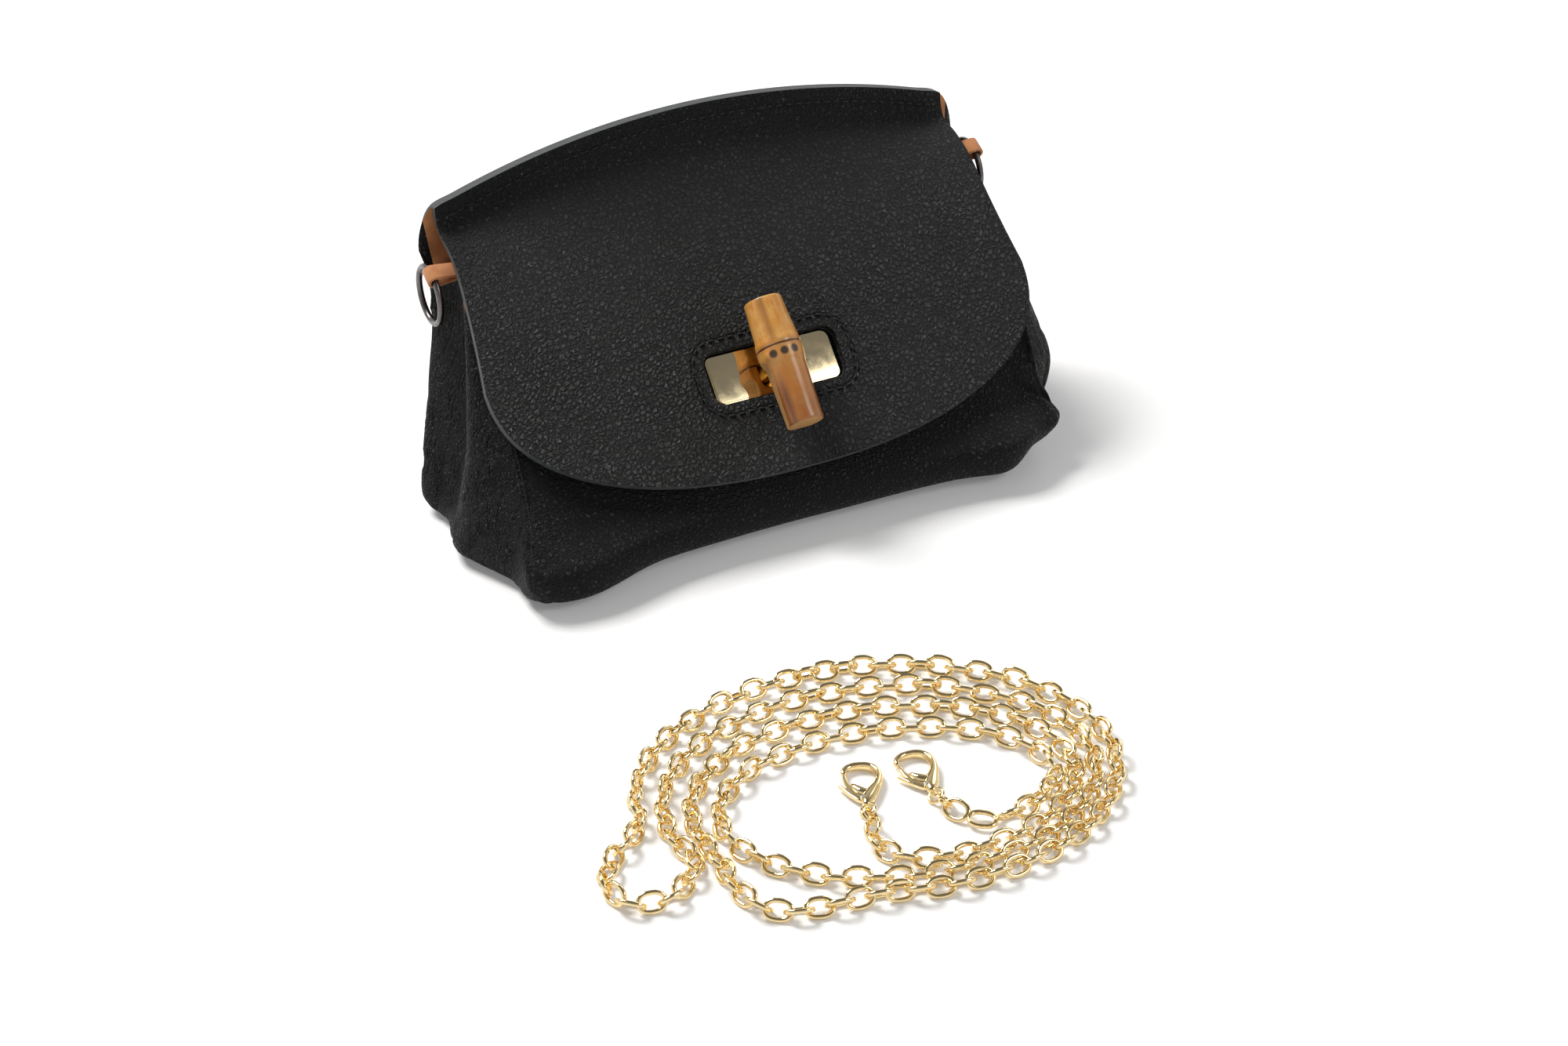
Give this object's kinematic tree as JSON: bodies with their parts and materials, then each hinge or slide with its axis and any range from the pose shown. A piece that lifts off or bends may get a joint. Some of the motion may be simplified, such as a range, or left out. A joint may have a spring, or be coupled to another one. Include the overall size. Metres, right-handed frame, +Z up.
{
  "type": "shoulder wallet",
  "caption": "Small leather pouch wallet with side gussets, a fold-over flap, a bamboo turn lock, a ring at each side and a detached chain strap with lobster clasps.",
  "frame": {"origin": "centre of the pouch's base, on the surface it stands on", "axes": "+Z up, -Y towards the front of the flap, +X to the right seen from the front"},
  "size_m": [0.2169, 0.2495, 0.0992],
  "materials": {
    "black_leather": "pebbled, satin",
    "suede": "natural flesh side, matt",
    "gold": "polished pale gold plate",
    "gunmetal": "dark plated, satin",
    "steel": "satin",
    "bamboo": "lacquered, flame browned"
  },
  "bodies": {
    "pouch": {"back_panel": "black_leather", "front_panel": "black_leather", "bottom_panel": "black_leather", "gusset_left": "black_leather", "gusset_right": "black_leather", "flap_root": "black_leather", "lock_plate": "gold", "lock_backing": "steel", "tab_left": "suede", "tab_right": "suede", "divider": "suede", "card_pocket_tall": "suede", "card_pocket_short": "suede"},
    "flap": {"flap_panel": "black_leather", "slot_facing": "black_leather"},
    "toggle": {"bamboo_toggle": "bamboo", "toggle_saddle": "gold", "lock_spindle": "gold", "spindle_clip": "steel", "toggle_screw": "steel"},
    "ring_left": {"ring_left": "gunmetal"},
    "ring_right": {"ring_right": "gunmetal"},
    "strap": {"chain_links_1": "gold", "chain_links_2": "gold", "chain_links_3": "gold", "chain_links_4": "gold", "chain_links_5": "gold", "chain_links_6": "gold", "chain_links_7": "gold", "chain_links_8": "gold", "split_ring_left": "gold", "split_ring_right": "gold", "clasp_body_left": "gold", "clasp_body_right": "gold", "clasp_pin_left": "steel", "clasp_pin_right": "steel"},
    "lever_left": {"clasp_lever_left": "gold"},
    "lever_right": {"clasp_lever_right": "gold"}
  },
  "joints": [
    {"name": "flap_hinge", "type": "hinge", "parent": "pouch", "child": "flap", "pos_m": [0, 0.04433, 0.0845], "axis": [-1, 0, 0], "range_deg": [0, 150], "deforming": ["flap_panel", "slot_facing"]},
    {"name": "toggle_turn", "type": "hinge", "parent": "pouch", "child": "toggle", "pos_m": [0, -0.01, 0.042], "axis": [0, -0.6677, 0.7444], "range_deg": [0, 90]},
    {"name": "ring_left_swing", "type": "hinge", "parent": "pouch", "child": "ring_left", "pos_m": [-0.08683, 0.03303, 0.07082], "axis": [0, 0.9272, 0.3746], "range_deg": [0, 110]},
    {"name": "ring_right_swing", "type": "hinge", "parent": "pouch", "child": "ring_right", "pos_m": [0.08683, 0.03303, 0.07082], "axis": [0, -0.9272, -0.3746], "range_deg": [0, 110]},
    {"name": "strap_lift", "type": "slide", "parent": "pouch", "child": "strap", "axis": [0, 0, 1], "range_m": [0, 0.12]},
    {"name": "clasp_lever_left_swing", "type": "hinge", "parent": "strap", "child": "lever_left", "pos_m": [-0.04505, -0.15479, 0.0015], "axis": [0, 0, -1], "range_deg": [0, 18], "stiffness_Nm_per_rad": 0.002, "springref_deg": -11.46},
    {"name": "clasp_lever_right_swing", "type": "hinge", "parent": "strap", "child": "lever_right", "pos_m": [-0.02762, -0.15711, 0.0015], "axis": [0, 0, -1], "range_deg": [0, 18], "stiffness_Nm_per_rad": 0.002, "springref_deg": -11.46}
  ]
}
